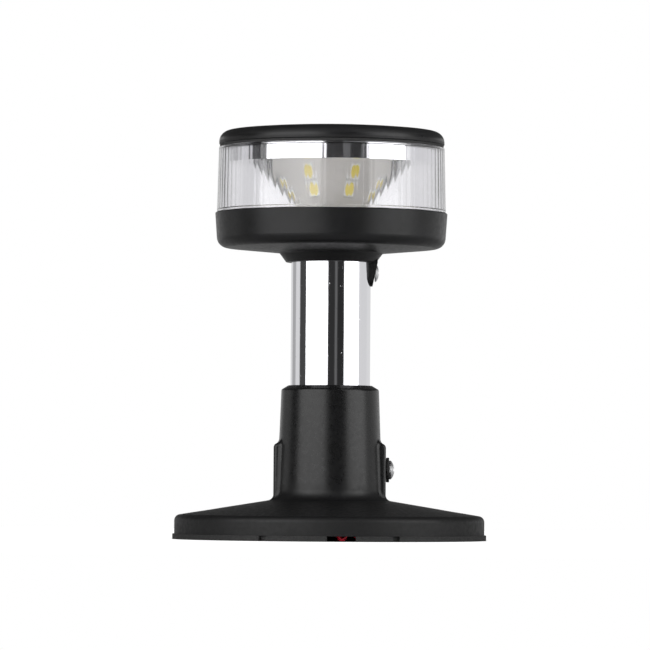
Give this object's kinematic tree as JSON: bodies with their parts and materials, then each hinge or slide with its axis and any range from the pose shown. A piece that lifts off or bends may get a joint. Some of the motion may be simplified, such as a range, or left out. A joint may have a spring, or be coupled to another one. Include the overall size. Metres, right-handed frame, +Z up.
{
  "type": "navigation light",
  "caption": "All-round white navigation light on a short chrome pole that clamps into a round deck base; clear fluted lens between a black housing and a domed cap.",
  "frame": {"origin": "centre of the base gasket's underside, on the pole's axis", "axes": "+Z up along the pole; the front is towards -Y; both outside screws are on the +X side"},
  "size_m": [0.1002, 0.1002, 0.1322],
  "materials": {
    "black_abs": "satin black moulded plastic with a fine grain",
    "black_foam": "closed-cell black foam",
    "black_rubber": "matte black rubber",
    "chromed_tube": "bright chromed stainless tube",
    "mirror_coat": "bright metallised plastic",
    "clear_lens": "clear fluted moulding",
    "stainless": "polished stainless",
    "brass": "machined",
    "grey_nylon": "moulded nylon",
    "red_pvc": "smooth insulation",
    "red_nylon": "translucent nylon sleeve",
    "black_pvc": "smooth insulation",
    "green_board": "solder resist",
    "part_black": "moulded parts",
    "white_board": "white solder resist",
    "led_body": "white moulded body",
    "phosphor": "yellow silicone"
  },
  "bodies": {
    "base": {"base": "black_abs", "base_gasket": "black_foam", "socket_seal": "black_rubber", "contact_sleeves": "brass", "contact_block": "grey_nylon", "contact_block_screws": "stainless", "red_lead": "red_pvc", "black_lead": "black_pvc", "red_splice": "red_nylon", "black_splice": "red_nylon", "lead_clip": "grey_nylon", "lead_clip_screw": "stainless", "screw_insert": "brass"},
    "pole": {"head_housing": "black_abs", "top_cap": "black_abs", "neck_seal": "black_rubber", "lower_lens_seal": "black_rubber", "upper_lens_seal": "black_rubber", "pole": "chromed_tube", "reflector": "mirror_coat", "lens": "clear_lens", "head_screw": "stainless", "driver_board_screws": "stainless", "tie_screw": "stainless", "contact_pins": "brass", "tie_insert": "brass", "board_link_pins": "brass", "pole_plug": "grey_nylon", "pole_lead_red": "red_pvc", "pole_lead_black": "black_pvc", "driver_board": "green_board", "driver_parts": "part_black", "led_board": "white_board", "led_packages": "led_body", "led_phosphors": "phosphor"},
    "clamp_washer": {"clamp_washer": "black_rubber"},
    "clamp_screw": {"clamp_screw": "stainless"}
  },
  "joints": [
    {"name": "pole_lift", "type": "slide", "parent": "base", "child": "pole", "axis": [0, 0, 1], "range_m": [0, 0.044]},
    {"name": "clamp_screw_travel", "type": "slide", "parent": "base", "child": "clamp_washer", "axis": [1, 0, 0], "range_m": [0, 0.0035]},
    {"name": "clamp_screw_turn", "type": "hinge", "parent": "clamp_washer", "child": "clamp_screw", "pos_m": [0.02, 0, 0.0224], "axis": [1, 0, 0], "range_deg": [0, 1800]}
  ],
  "couplings": [
    {"joint": "clamp_screw_turn", "follows": "clamp_screw_travel", "rad_per_m": 8975.9}
  ]
}
